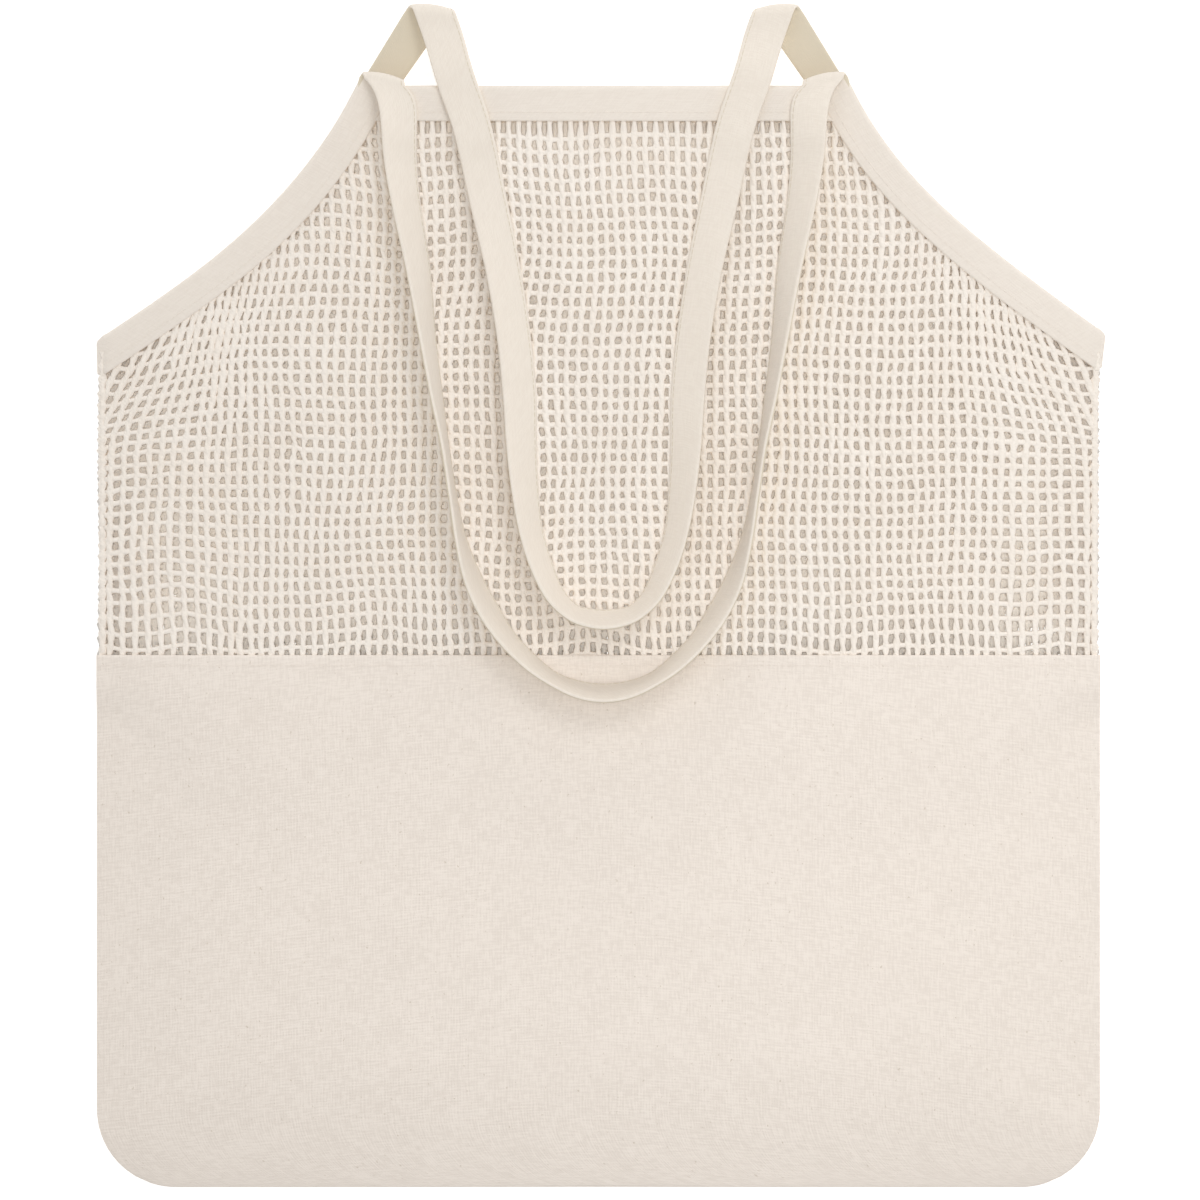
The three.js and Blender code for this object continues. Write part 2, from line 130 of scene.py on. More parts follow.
def smooth(value, start, end):
    """Smooth step: 0 before start, 1 after end, and between them an S curve, three times the square of the
    share of the way less twice its cube."""
    t = np.clip((value - start) / (end - start), 0, 1)
    return t * t * (3 - 2 * t)


def puff(distance):
    """Rise of the front from its sewn edge: a parabola, steep at the edge and level at the end of its run."""
    left = 1 - np.clip(distance / PUFF_RUN, 0, 1)
    return PUFF * (1 - left**2)


def seam_distance(x, y):
    """Distance to the sewn edge: to the side or the bottom, or to the arc of a round corner."""
    past_x = np.abs(x) - (HALF_WIDTH - CORNER_RADIUS)
    past_y = CORNER_RADIUS - y
    to_arc = CORNER_RADIUS - np.hypot(past_x, past_y)
    to_line = np.minimum(HALF_WIDTH - np.abs(x), y)
    return np.where((past_x > 0) & (past_y > 0), to_arc, to_line)


def cloud(x, y, wavelength, seed):
    """Uneven field of about -1 to 1: the sum of 16 cosine waves in random directions, near one wavelength."""
    random = np.random.default_rng(seed)
    turn = random.uniform(0, 2 * np.pi, 16)
    shift = random.uniform(0, 2 * np.pi, 16)
    pace = 2 * np.pi / (wavelength * random.uniform(0.7, 1.5, 16))
    along = np.multiply.outer(x, np.cos(turn)) + np.multiply.outer(y, np.sin(turn))
    return np.cos(along * pace + shift).sum(-1) / 4


def graded(length, step, edge):
    """Spots along a length: close together over the last millimetres at both ends, and even between them."""
    rim = edge * np.array([0, 0.04, 0.16, 0.45])
    count = max(2, round((length - 2 * edge) / step) + 1)
    return np.concatenate([rim, np.linspace(edge, length - edge, count), length - rim[::-1]])


def make_piece(name, points, face_groups, cloth, side):
    """Mesh object from points in millimetres, groups of faces with equal corner counts, the flat place of
    each point in the cloth, and the side of the cloth that it is on: 1 for one face, -1 for the other."""
    mesh = bpy.data.meshes.new(name)
    corners = np.concatenate([faces.ravel() for faces in face_groups])
    counts = np.concatenate([np.full(len(faces), faces.shape[1]) for faces in face_groups])
    mesh.vertices.add(len(points))
    mesh.loops.add(len(corners))
    mesh.polygons.add(len(counts))
    placed = points * MM + np.array([0, BOTTOM, 0])
    mesh.vertices.foreach_set("co", placed.astype(np.float32).ravel())
    mesh.loops.foreach_set("vertex_index", corners.astype(np.int32))
    mesh.polygons.foreach_set("loop_start", (np.cumsum(counts) - counts).astype(np.int32))
    mesh.polygons.foreach_set("use_smooth", np.ones(len(counts), bool))
    mesh.update(calc_edges=True)
    mesh.validate()
    flat = mesh.uv_layers.new(name="cloth")
    flat.data.foreach_set("uv", cloth[corners].astype(np.float32).ravel())
    faces_of_cloth = mesh.attributes.new("cloth_side", "FLOAT", "POINT")
    faces_of_cloth.data.foreach_set("value", side.astype(np.float32))
    piece = bpy.data.objects.new(name, mesh)
    bpy.context.collection.objects.link(piece)
    return piece


def sheet_normal(middle):
    """Unit normals of a grid of points: the cross product of its steps along the two directions."""
    normal = np.cross(np.gradient(middle, axis=1), np.gradient(middle, axis=0))
    return normal / np.linalg.norm(normal, axis=2, keepdims=True)


def rounded_sheet(name, middle, thickness, edge):
    """Closed sheet round a grid of middle points. Both faces stand off by half the thickness along the
    normal, and over the last millimetres they close in a half round and share the points of the rim."""
    rows, columns = middle.shape[:2]
    run = []
    for axis in (0, 1):
        step = np.linalg.norm(np.diff(middle, axis=axis), axis=2)
        run.append(np.insert(np.cumsum(step, axis), 0, 0, axis))
    to_rim = [np.minimum(r, np.take(r, [-1], axis) - r) for axis, r in enumerate(run)]
    left = 1 - np.clip(np.minimum(*to_rim) / edge, 0, 1)
    offset = sheet_normal(middle) * (thickness / 2 * np.sqrt(1 - left**2))[:, :, None]
    number = np.arange(rows * columns).reshape(rows, columns)
    under = number + rows * columns
    under[[0, -1]] = number[[0, -1]]
    under[:, [0, -1]] = number[:, [0, -1]]
    faces = []
    for grid in (number, under[:, ::-1]):
        ring = [grid[:-1, :-1], grid[:-1, 1:], grid[1:, 1:], grid[1:, :-1]]
        faces.append(np.stack(ring, -1).reshape(-1, 4))
    used, quads = np.unique(np.concatenate(faces), return_inverse=True)
    points = np.concatenate([middle + offset, middle - offset]).reshape(-1, 3)[used]
    cloth = np.stack([run[1], run[0]], -1).reshape(-1, 2)
    inside = np.where(left.ravel() < 1, 1, 0)
    side = np.concatenate([inside, -inside])[used]
    return make_piece(name, points, [quads.reshape(-1, 4)], np.concatenate([cloth, cloth])[used], side)


def tubes(name, path, wide, half_wide, half_thick, sides, shown):
    """Closed tubes along many paths at once. Each ring goes round an ellipse with one half axis along wide
    and the other square to it and to the path. Rings that aren't shown are left out, and ends are capped."""
    step = np.gradient(path, axis=1)
    step = step / np.linalg.norm(step, axis=2, keepdims=True)
    wide = wide - step * (wide * step).sum(-1, keepdims=True)
    wide = wide / np.linalg.norm(wide, axis=2, keepdims=True)
    thick = np.cross(step, wide)
    turn = np.pi / 2 + 2 * np.pi * np.arange(sides) / sides
    out_wide = half_wide[:, :, None, None] * np.cos(turn)[:, None] * wide[:, :, None]
    out_thick = half_thick[:, :, None, None] * np.sin(turn)[:, None] * thick[:, :, None]
    rings = path[:, :, None] + out_wide + out_thick
    number = np.arange(rings[..., 0].size).reshape(rings.shape[:3])
    after = np.roll(number, -1, axis=2)
    quads = np.stack([number[:, :-1], after[:, :-1], after[:, 1:], number[:, 1:]], -1)
    kept = shown[:, :-1] & shown[:, 1:]
    starts = kept & ~np.pad(kept[:, :-1], ((0, 0), (1, 0)))
    ends = kept & ~np.pad(kept[:, 1:], ((0, 0), (0, 1)))
    caps = np.concatenate([number[:, :-1][starts][:, ::-1], number[:, 1:][ends]])
    quads = quads[kept].reshape(-1, 4)
    used, index = np.unique(np.concatenate([quads.ravel(), caps.ravel()]), return_inverse=True)
    quads, caps = index[: quads.size].reshape(-1, 4), index[quads.size :].reshape(-1, sides)
    length = np.linalg.norm(np.diff(path, axis=1), axis=2).cumsum(1)
    along = np.repeat(np.pad(length, ((0, 0), (1, 0)))[:, :, None], sides, 2)
    around = np.broadcast_to(np.arange(sides) / sides, along.shape)
    cloth = np.stack([around, along], -1).reshape(-1, 2)[used]
    return make_piece(name, rings.reshape(-1, 3)[used], [quads, caps], cloth, np.ones(len(used)))


def stitches(name, line, up):
    """Row of stitches on a line of points: short threads at an even pitch, each an arch that dips into the
    cloth at both ends. up is the way off the cloth at each point of the line."""
    run = np.insert(np.cumsum(np.linalg.norm(np.diff(line, axis=0), axis=1)), 0, 0)
    centres = np.arange(STITCH_PITCH / 2, run[-1], STITCH_PITCH)
    t = np.linspace(-1, 1, 7)
    spots = np.clip(centres[:, None] + t * STITCH_LENGTH / 2, 0, run[-1])
    arch = (0.35 - 0.75 * t**4) * STITCH_THREAD
    path = np.stack([np.interp(spots, run, line[:, k]) for k in range(3)], -1)
    lift = np.stack([np.interp(spots, run, up[:, k]) for k in range(3)], -1)
    path = path + lift * arch[:, None]
    across = np.cross(lift, np.gradient(path, axis=1))
    radius = np.broadcast_to(STITCH_THREAD * np.sqrt(1 - 0.8 * t**2), spots.shape)
    return tubes(name, path, across, radius, radius * 0.8, 6, np.ones(spots.shape, bool))


def add_node(tree, kind, settings, inputs):
    """Node in a tree, with its options set. Each input takes a plain value or the socket that feeds it."""
    made = tree.nodes.new(kind)
    for option, value in settings.items():
        setattr(made, option, value)
    for socket, value in inputs.items():
        if isinstance(value, bpy.types.NodeSocket):
            tree.links.new(value, made.inputs[socket])
        else:
            made.inputs[socket].default_value = value
    return made


def math_node(tree, operation, first, second=0.0):
    """Result of one sum of two values."""
    return add_node(tree, "ShaderNodeMath", {"operation": operation}, {0: first, 1: second}).outputs[0]


def stretched_noise(tree, flat, stretch, detail):
    """Noise over the cloth, stretched by its scale along each of the two thread directions."""
    scaled = add_node(tree, "ShaderNodeVectorMath", {"operation": "MULTIPLY"}, {0: flat, 1: stretch})
    made = add_node(
        tree,
        "ShaderNodeTexNoise",
        {"noise_dimensions": "2D"},
        {"Vector": scaled.outputs[0], "Scale": 1.0, "Detail": detail, "Roughness": 0.55},
    )
    return made.outputs["Fac"]


def plain_weave():
    """Node group: the threads of both directions as the sum of two sines, made uneven by long slubs along
    them, with a mask of small flecks of seed husk and one of soft cloudy patches."""
    tree = bpy.data.node_groups.new("plain_weave", "ShaderNodeTree")
    tree.interface.new_socket("Flat", in_out="INPUT", socket_type="NodeSocketVector")
    tree.interface.new_socket("Thread", in_out="INPUT", socket_type="NodeSocketFloat")
    for output in ("Slub", "Fleck", "Patch", "Height"):
        tree.interface.new_socket(output, in_out="OUTPUT", socket_type="NodeSocketFloat")
    given = tree.nodes.new("NodeGroupInput").outputs
    flat = given["Flat"]
    wander = add_node(
        tree,
        "ShaderNodeTexNoise",
        {"noise_dimensions": "2D"},
        {"Vector": flat, "Scale": 0.35, "Detail": 2.0},
    )
    moved = add_node(
        tree,
        "ShaderNodeVectorMath",
        {"operation": "MULTIPLY_ADD"},
        {0: wander.outputs["Color"], 1: (0.9, 0.9, 0.0), 2: flat},
    )
    spot = add_node(tree, "ShaderNodeSeparateXYZ", {}, {0: moved.outputs[0]})
    pace = math_node(tree, "DIVIDE", np.pi, given["Thread"])
    waves = [
        math_node(tree, "SINE", math_node(tree, "MULTIPLY", spot.outputs[k], pace)) for k in (0, 1)
    ]
    over = math_node(tree, "ADD", *waves)
    weft = stretched_noise(tree, flat, (0.18, 1.3, 0.0), 2.0)
    warp = stretched_noise(tree, flat, (1.3, 0.18, 0.0), 2.0)
    slub = math_node(tree, "MULTIPLY", math_node(tree, "ADD", weft, warp), 0.5)
    speck = stretched_noise(tree, flat, (0.6, 0.5, 0.0), 2.0)
    fleck = add_node(
        tree,
        "ShaderNodeMapRange",
        {"interpolation_type": "SMOOTHSTEP"},
        {"Value": speck, "From Min": 0.72, "From Max": 0.82},
    )
    patch = stretched_noise(tree, flat, (0.06, 0.06, 0.0), 3.0)
    total = math_node(tree, "ADD", math_node(tree, "MULTIPLY", over, 0.12), slub)
    made = {"Slub": slub, "Fleck": fleck.outputs[0], "Patch": patch, "Height": total}
    add_node(tree, "NodeGroupOutput", {}, made)
    return tree


weave_group = plain_weave()


def woven_cotton(name, light, dark, fleck_colour, thread, relief):
    """Material of woven cotton: the colour goes from dark to light with the slubs and patches, the flecks
    lie over it, and the threads stand out as relief."""
    material = bpy.data.materials.new(name)
    material.use_nodes = True
    tree = material.node_tree
    shader = tree.nodes["Principled BSDF"]
    flat = add_node(tree, "ShaderNodeUVMap", {"uv_map": "cloth"}, {})
    weave = add_node(
        tree,
        "ShaderNodeGroup",
        {"node_tree": weave_group},
        {"Flat": flat.outputs[0], "Thread": thread},
    )
    slubs = math_node(tree, "MULTIPLY", weave.outputs["Slub"], 0.85)
    tone = math_node(tree, "ADD", slubs, math_node(tree, "MULTIPLY", weave.outputs["Patch"], 0.15))
    spread = add_node(
        tree, "ShaderNodeMapRange", {}, {"Value": tone, "From Min": 0.42, "From Max": 0.58}
    )
    cloth_colour = add_node(
        tree,
        "ShaderNodeMix",
        {"data_type": "RGBA"},
        {0: spread.outputs[0], 6: (*dark, 1), 7: (*light, 1)},
    )
    flecked = add_node(
        tree,
        "ShaderNodeMix",
        {"data_type": "RGBA"},
        {0: weave.outputs["Fleck"], 6: cloth_colour.outputs[2], 7: (*fleck_colour, 1)},
    )
    bump = add_node(
        tree,
        "ShaderNodeBump",
        {},
        {"Strength": relief, "Distance": 0.0003, "Height": weave.outputs["Height"]},
    )
    tree.links.new(flecked.outputs[2], shader.inputs["Base Color"])
    tree.links.new(bump.outputs[0], shader.inputs["Normal"])
    shader.inputs["Roughness"].default_value = 0.95
    shader.inputs["Specular IOR Level"].default_value = 0.15
    shader.inputs["Sheen Weight"].default_value = 0.12
    shader.inputs["Sheen Roughness"].default_value = 0.6
    return material


canvas_cotton = woven_cotton(
    "canvas_cotton",
    light=(0.864, 0.786, 0.709),
    dark=(0.800, 0.722, 0.647),
    fleck_colour=(0.66, 0.58, 0.49),
    thread=0.55,
    relief=0.45,
)


def canvas_middle(height_at):
    """Grid of the panel's middle points: even columns across each row, which is as wide as the round
    corners let it be at that height."""
    y = graded(CANVAS_HEIGHT, CANVAS_ROW_STEP, CANVAS_EDGE)
    u = graded(2 * HALF_WIDTH, CANVAS_COLUMN_STEP, CANVAS_EDGE) / HALF_WIDTH - 1
    left = CORNER_RADIUS - np.minimum(y, CORNER_RADIUS)
    half = HALF_WIDTH - CORNER_RADIUS + np.sqrt(CORNER_RADIUS**2 - left**2)
    x = half[:, None] * u
    y = np.broadcast_to(y[:, None], x.shape)
    return np.stack([x, y, height_at(x, y)], -1)


def front_canvas_height(x, y):
    """Height of the front sheet's middle: the seam's two layers, the rise to the net, which is short at the
    sides and long between them, and the puff, with faint waves."""
    rise_start = CANVAS_HEIGHT * (0.88 - 0.28 * smooth(HALF_WIDTH - np.abs(x), 0, 60))
    lift = SIDE_SEAM_Z + NET_SEAM_RISE * smooth(y, rise_start, CANVAS_HEIGHT - NET_SEAM_RUN)
    inner = smooth(seam_distance(x, y), 4, 40)
    return lift + puff(seam_distance(x, y)) + inner * CANVAS_WAVES * cloud(x, y, 85, 3)


def back_canvas_height(x, y):
    """Height of the back sheet's middle: flat on the floor."""
    return np.full(x.shape, CANVAS_THICK / 2)


front_canvas = canvas_middle(front_canvas_height)
back_canvas = canvas_middle(back_canvas_height)
canvas_front = rounded_sheet("canvas_front_cloth", front_canvas, CANVAS_THICK, CANVAS_EDGE)
canvas_back = rounded_sheet("canvas_back_cloth", back_canvas, CANVAS_THICK, CANVAS_EDGE)
seam_row = np.abs(front_canvas[:, 0, 1] - (CANVAS_HEIGHT - STITCH_INSET)).argmin()
seam_line = front_canvas[seam_row, 4:-4] + np.array([0, 0, CANVAS_THICK / 2])
seam_up = np.broadcast_to([0.0, 0.0, 1.0], seam_line.shape)
canvas_stitches = stitches("canvas_stitches", seam_line, seam_up)
for piece, node in (
    (canvas_front, "canvas_front"),
    (canvas_back, "canvas_back"),
    (canvas_stitches, "canvas_front"),
):
    piece.data.materials.append(canvas_cotton)
    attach(piece, "root")
    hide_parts(node)

# Net panels: the upper half, two sheets of soft cotton net with oblong cells of about 4 by 5 mm.
# Chains of two plied yarns run up the panel, and single cross yarns are knotted through them.
# The back net's yarn is painted lighter than the front's, as painted light for the space between the
# nets, and darker and tanner beside the selvedges, as painted shade for the dark gap there.
BAG_HEIGHT = 416.0
SWAY = 2.0
ARMHOLE_SWAY = 0.7
NOTCH_HEIGHT = 290.0
FRONT_NET_Z = 3.1
FRONT_NET_RISE = 3.3
BACK_NET_Z = 1.6
CHAIN_COUNT = 103
CHAIN_PITCH = 3.99
SELVEDGE_X = 187.6
YARN_FLATNESS = 0.56
ROW_STEPS = [193.0, 5.6, 5.6, 5.6, 5.5, 5.3] + [4.87] * 30 + [5.3] * 6 + [11.0]
ARMHOLE_EDGES = {
    "outer": {"inset": 0.0, "side_height": 323.8, "top_handle": 45.0, "side_handle": 46.0},
    "inner": {"inset": 12.5, "side_height": 308.8, "top_handle": 50.0, "side_handle": 56.0},
}
ARMHOLE_TURNS = np.radians([26, 56])
MOUTH_CORNER = np.array([93.2, BAG_HEIGHT])
CREASE_X = 186.9
KNOT_MOVES = {"widen": 0.2, "lean_in": 0.42, "dip": 7.0, "wave": 2.3, "sag": 1.6, "scatter": 0.2}
THICKER = {"cloud": 0.09, "grain": 0.06, "dense": 0.10, "left_half": 0.03, "right_half": 0.08}
THINNER = {"beside_canvas": 0.10, "notch": 0.06, "below_hem": 0.06}
FRONT_YARN = {"chain": 1.20, "cross": 1.27, "sides": 5, "steps": 4}
BACK_YARN = {"chain": 1.24, "cross": 1.5, "sides": 4, "steps": 3}
# Colour of the painted shade on the back yarn beside the selvedges.
SIDE_PAINTED_SHADE = (0.79, 0.74, 0.68)


def armhole_edge(inset, side_height, top_handle, side_handle, count, drop=0.0):
    """One edge of the armhole tape on the right: points of a cubic curve from the mouth corner to the side,
    which starts steep, ends flatter and meets the side lower by the drop."""
    top_turn, side_turn = ARMHOLE_TURNS
    top_way = np.array([np.sin(top_turn), -np.cos(top_turn)])
    side_way = np.array([np.sin(side_turn), -np.cos(side_turn)])
    top = MOUTH_CORNER + inset * np.array([top_way[1], -top_way[0]])
    side = np.array([CREASE_X, side_height - drop])
    t = np.linspace(0, 1, count)[:, None]
    ways = (1 - t) ** 3 * top + 3 * (1 - t) ** 2 * t * (top + top_handle * top_way)
    return ways + 3 * (1 - t) * t**2 * (side - side_handle * side_way) + t**3 * side


def sway(y):
    """Shift of the upper part to the right, as the bag was laid down: a smooth step above the notches, with
    a low bell at the middle of the armholes."""
    return SWAY * smooth(y, NOTCH_HEIGHT, 360) + ARMHOLE_SWAY * np.exp(-(((y - 352) / 28) ** 2))


def front_net_height(x, y):
    """Middle of the front net: the seam's layers, the rise over the notches and the puff from the sides."""
    lift = FRONT_NET_Z + FRONT_NET_RISE * smooth(y, CANVAS_HEIGHT + 13, 310)
    return lift + puff(HALF_WIDTH - np.abs(x))


def back_net_height(x, y):
    """Middle of the back net, which lies on the floor."""
    return np.full(x.shape, BACK_NET_Z)


def through(knots, steps):
    """Smooth curves through knots along the first axis: a cubic blend of the four nearest, in equal steps."""
    spots = np.linspace(0, len(knots) - 1, (len(knots) - 1) * steps + 1)
    first = np.minimum(spots.astype(int), len(knots) - 2)
    t = (spots - first).reshape(-1, *[1] * (knots.ndim - 1))
    ends = [2 * knots[:1] - knots[1:2], knots, 2 * knots[-1:] - knots[-2:-1]]
    a, b, c, d = (np.concatenate(ends)[first + k] for k in range(4))
    return b + (c - a) * t / 2 + (a - 2.5 * b + 2 * c - d / 2) * t**2 + (1.5 * (b - c) + (d - a) / 2) * t**3


def net_knots(seed, shift):
    """Plan of the knots, a row for each cross yarn: a grid with wider cells near the sides, shifted by a
    share of a cell, that leans inward at the notches, where more chains come in from the sides, made wavy
    above the canvas and a little uneven everywhere. The first and last chains are the straight selvedges."""
    random = np.random.default_rng(seed)
    spots = (np.arange(CHAIN_COUNT) - CHAIN_COUNT // 2 + shift) * CHAIN_PITCH
    spots = spots + np.sign(spots) * KNOT_MOVES["widen"] * np.maximum(np.abs(spots) - 152, 0)
    x, y = np.meshgrid(spots, np.cumsum(ROW_STEPS) - shift * ROW_STEPS[10])
    edge = np.maximum(HALF_WIDTH - np.abs(x), 0)
    above_notch = (y - NOTCH_HEIGHT + np.hypot(y - NOTCH_HEIGHT, 10)) / 2
    inward = -np.sign(x) * KNOT_MOVES["lean_in"] * above_notch * np.exp(-((edge / 38) ** 2))
    dip = -KNOT_MOVES["dip"] * np.exp(-edge / 24) * np.exp(-(((y - 312) / 36) ** 2))
    waves = KNOT_MOVES["wave"] * cloud(x, 0.25 * y, 46, seed + 6) * np.exp(-np.abs(y - 200) / 36)
    below_mouth = smooth(y, 330, 396) * (1 - smooth(y, 398, 408))
    sag = -KNOT_MOVES["sag"] * (1 - (x / 95) ** 2) * below_mouth
    x = x + inward + 0.7 * cloud(x, y, 60, seed + 1) * smooth(edge, 2, 20)
    y = y + dip + waves + sag + cloud(x, 0.5 * y, 60, seed + 2) * smooth(y, 205, 225)
    x = x + random.normal(0, KNOT_MOVES["scatter"], x.shape)
    y = y + random.normal(0, KNOT_MOVES["scatter"], y.shape)
    x[:, [0, -1]] = -SELVEDGE_X, SELVEDGE_X
    return x + sway(y), y


def net_region(x, y):
    """True inside the panel: below the middle of the hem and inside the middle of the armhole tape."""
    edges = [armhole_edge(**edge, count=60) for edge in ARMHOLE_EDGES.values()]
    middle = (edges[0] + edges[1])[::-1] / 2
    half = np.where(y > middle[0, 1], np.interp(y, middle[:, 1], middle[:, 0]), SELVEDGE_X + 0.3)
    return (np.abs(x - sway(y)) < half) & (y < BAG_HEIGHT - 5)


def fullness(x, y, seed):
    """Thickness of the yarn as a factor: cloudy, thinner beside the canvas, at the notches and below the hem,
    and fuller in a band near each side and in the middle of each half, most of all on the right."""
    edge = HALF_WIDTH - np.abs(x)
    beside_canvas = np.exp(-np.abs(y - 203) / 9)
    notch = np.exp(-(((y - 305) / 24) ** 2) - (edge / 30) ** 2)
    dense = np.exp(-(((np.abs(x) - 153) / 11) ** 2)) * smooth(y, 215, 240) * (1 - smooth(y, 290, 320))
    uneven = THICKER["cloud"] * cloud(x, y, 34, seed + 3) + THICKER["grain"] * cloud(x, y, 11, seed + 4)
    below_hem = smooth(y, 376, 400)
    half_gain = np.where(x > 0, THICKER["right_half"], THICKER["left_half"])
    full_half = half_gain * np.exp(-(((np.abs(x) - 95) / 50) ** 2) - ((y - 300) / 75) ** 2)
    loss = THINNER["beside_canvas"] * beside_canvas + THINNER["notch"] * notch
    loss = loss + THINNER["below_hem"] * below_hem
    return 1 + uneven + THICKER["dense"] * dense + full_half - loss


def chains(name, knots, height_at, columns, yarn, seed):
    """Upright chains of a net: two yarns that wind round a common path with half a turn in each cell."""
    random = np.random.default_rng(seed)
    steps = yarn["steps"]
    plan = through(np.stack(knots, -1), steps)[:, columns].swapaxes(0, 1)
    x, y = plan[..., 0], plan[..., 1]
    way = np.gradient(plan, axis=1)
    way = way / np.linalg.norm(way, axis=2, keepdims=True)
    across = np.stack([way[..., 1], -way[..., 0], np.zeros(x.shape)], -1)
    cell = np.arange(x.shape[1]) / steps
    phase = random.normal(0, 0.35, (len(x), 1)) + 0.5 * cloud(x, y, 30, seed + 5)
    thick = fullness(x, y, seed) * (1 + 0.08 * np.cos(2 * np.pi * cell))
    thick = thick + random.normal(0, 0.05, x.shape)
    selvedge = 1 + 0.5 * (np.abs(x - sway(y)) == SELVEDGE_X)
    middle = np.stack([x, y, height_at(x, y) + 0.1], -1)
    shown = net_region(x, y)
    paths, widths = [], []
    for half_turn in (0, np.pi):
        turn = np.pi * (cell + 0.12) + phase + half_turn
        aside = across * (0.39 / selvedge * np.cos(turn))[..., None]
        above = np.stack([0 * x, 0 * x, 0.22 * np.sin(turn)], -1)
        paths.append(middle + aside + above)
        widths.append(yarn["chain"] * thick * selvedge)
    half_wide = np.concatenate(widths)
    return tubes(
        name,
        np.concatenate(paths),
        np.concatenate([across, across]),
        half_wide,
        YARN_FLATNESS * half_wide,
        yarn["sides"],
        np.concatenate([shown, shown]),
    )


def cross_yarns(name, knots, height_at, yarn, seed):
    """Cross yarns of a net: each runs through a row of knots, dips under every chain and is widest there."""
    steps = yarn["steps"]
    plan = through(np.stack(knots, -1)[:, 1:-1].swapaxes(0, 1), steps).swapaxes(0, 1)
    x, y = plan[..., 0], plan[..., 1]
    cell = np.arange(x.shape[1]) / steps
    dip = -0.22 * (0.5 + 0.5 * np.cos(2 * np.pi * cell))
    path = np.stack([x, y, height_at(x, y) + dip], -1)
    wide = np.broadcast_to([0.0, -1.0, 0.0], path.shape)
    uneven = np.random.default_rng(seed).normal(0, 0.05, x.shape)
    half_wide = yarn["cross"] * fullness(x, y, seed + 7) * (1 + 0.12 * np.cos(2 * np.pi * cell)) + uneven
    half_thick = YARN_FLATNESS * half_wide
    return tubes(name, path, wide, half_wide, half_thick, yarn["sides"], net_region(x, y))


def net_yarn(name, light, dark):
    """Material of soft cotton yarn: small and large patches of cream and a touch of tan, with twisted fibres
    as relief, a sine over the place round the strand and the length along it."""
    material = bpy.data.materials.new(name)
    material.use_nodes = True
    tree = material.node_tree
    shader = tree.nodes["Principled BSDF"]
    place = add_node(tree, "ShaderNodeTexCoord", {}, {})
    patch = add_node(
        tree,
        "ShaderNodeTexNoise",
        {},
        {"Vector": place.outputs["Object"], "Scale": 130.0, "Detail": 3.0},
    )
    fluff = add_node(
        tree,
        "ShaderNodeTexNoise",
        {},
        {"Vector": place.outputs["Object"], "Scale": 1500.0, "Detail": 3.0},
    )
    blotch = add_node(
        tree,
        "ShaderNodeTexNoise",
        {},
        {"Vector": place.outputs["Object"], "Scale": 40.0, "Detail": 2.0},
    )
    tone = math_node(tree, "ADD", patch.outputs["Fac"], fluff.outputs["Fac"])
    tone = math_node(tree, "ADD", tone, blotch.outputs["Fac"])
    spread = add_node(
        tree, "ShaderNodeMapRange", {}, {"Value": tone, "From Min": 1.2, "From Max": 1.8}
    )
    colour = add_node(
        tree,
        "ShaderNodeMix",
        {"data_type": "RGBA"},
        {0: spread.outputs[0], 6: (*dark, 1), 7: (*light, 1)},
    )
    flat = add_node(tree, "ShaderNodeUVMap", {"uv_map": "cloth"}, {})
    spot = add_node(tree, "ShaderNodeSeparateXYZ", {}, {0: flat.outputs[0]})
    round_turn = math_node(tree, "MULTIPLY", spot.outputs[0], 8 * np.pi)
    long_turn = math_node(tree, "MULTIPLY", spot.outputs[1], 5.0)
    fibres = math_node(tree, "SINE", math_node(tree, "ADD", round_turn, long_turn))
    fuzz = math_node(tree, "ADD", math_node(tree, "MULTIPLY", fibres, 0.25), fluff.outputs["Fac"])
    bump = add_node(
        tree, "ShaderNodeBump", {}, {"Strength": 0.5, "Distance": 0.0003, "Height": fuzz}
    )
    tree.links.new(colour.outputs[2], shader.inputs["Base Color"])
    tree.links.new(bump.outputs[0], shader.inputs["Normal"])
    shader.inputs["Roughness"].default_value = 0.98
    shader.inputs["Specular IOR Level"].default_value = 0.1
    shader.inputs["Sheen Weight"].default_value = 0.2
    shader.inputs["Sheen Roughness"].default_value = 0.7
    return material


front_knots = net_knots(11, 0.0)
back_knots = net_knots(11, 0.5)
half_chains = CHAIN_COUNT // 2
left_columns = slice(0, half_chains)
right_columns = slice(half_chains, CHAIN_COUNT)
front_net = (front_knots, front_net_height)
back_net = (back_knots, back_net_height)
net_front_left = chains("net_front_left_chains", *front_net, left_columns, FRONT_YARN, 21)
net_front_right = chains("net_front_right_chains", *front_net, right_columns, FRONT_YARN, 22)
net_front_cross = cross_yarns("net_front_cross_yarns", *front_net, FRONT_YARN, 23)
net_back_chains = chains("net_back_chains", *back_net, slice(None), BACK_YARN, 24)
net_back_cross = cross_yarns("net_back_cross_yarns", *back_net, BACK_YARN, 25)
front_yarn = net_yarn("front_net_yarn", light=(0.930, 0.862, 0.784), dark=(0.900, 0.820, 0.732))
# Painted light: the back yarn is a lighter copy of the front yarn, for the light in the holes of the net.
back_yarn_painted_light_and_shade = net_yarn("back_net_yarn_painted_light_and_shade", light=(0.985, 0.955, 0.905), dark=(0.975, 0.940, 0.885))
back_tree = back_yarn_painted_light_and_shade.node_tree
back_shader = back_tree.nodes["Principled BSDF"]
strand_colour = back_shader.inputs["Base Color"].links[0].from_socket
